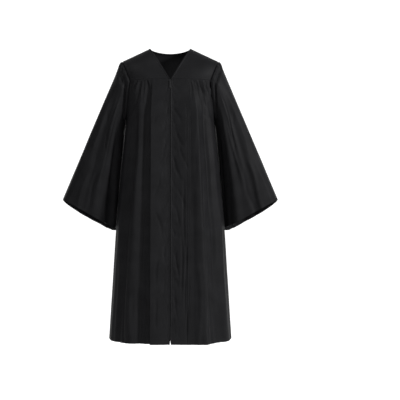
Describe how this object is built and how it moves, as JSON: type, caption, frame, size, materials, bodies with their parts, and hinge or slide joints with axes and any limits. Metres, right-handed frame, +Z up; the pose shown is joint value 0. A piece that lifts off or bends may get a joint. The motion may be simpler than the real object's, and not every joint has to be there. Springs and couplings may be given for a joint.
{
  "type": "graduation gown",
  "caption": "Black graduation gown with a V neck, yokes, gathered body, bell sleeves and a front zip, filled out as if worn.",
  "frame": {"origin": "middle of the neck opening, at the height of the shoulder seams beside it, where the wearer's shoulders hold the gown", "axes": "+Z up, the front faces -Y, +X is the right as seen from the front"},
  "size_m": [0.938, 0.3799, 1.2501],
  "materials": {
    "cloth": "matte black woven polyester with a faint sheen",
    "zip_tape": "black woven zip tape",
    "zip_metal": "black lacquered metal"
  },
  "bodies": {
    "gown": {"front_left": "cloth", "front_right": "cloth", "back": "cloth", "yoke_front_left": "cloth", "yoke_front_right": "cloth", "yoke_back": "cloth", "sleeve_left": "cloth", "sleeve_right": "cloth", "zip_tape_left": "zip_tape", "zip_tape_right": "zip_tape", "zip_slider": "zip_metal"},
    "zip_tab": {"zip_pull_tab": "zip_metal"}
  },
  "joints": [
    {"name": "zip_tab_swing", "type": "hinge", "parent": "gown", "child": "zip_tab", "pos_m": [0, -0.1166, -0.15095], "axis": [-1, 0, 0], "range_deg": [0, 160]}
  ]
}
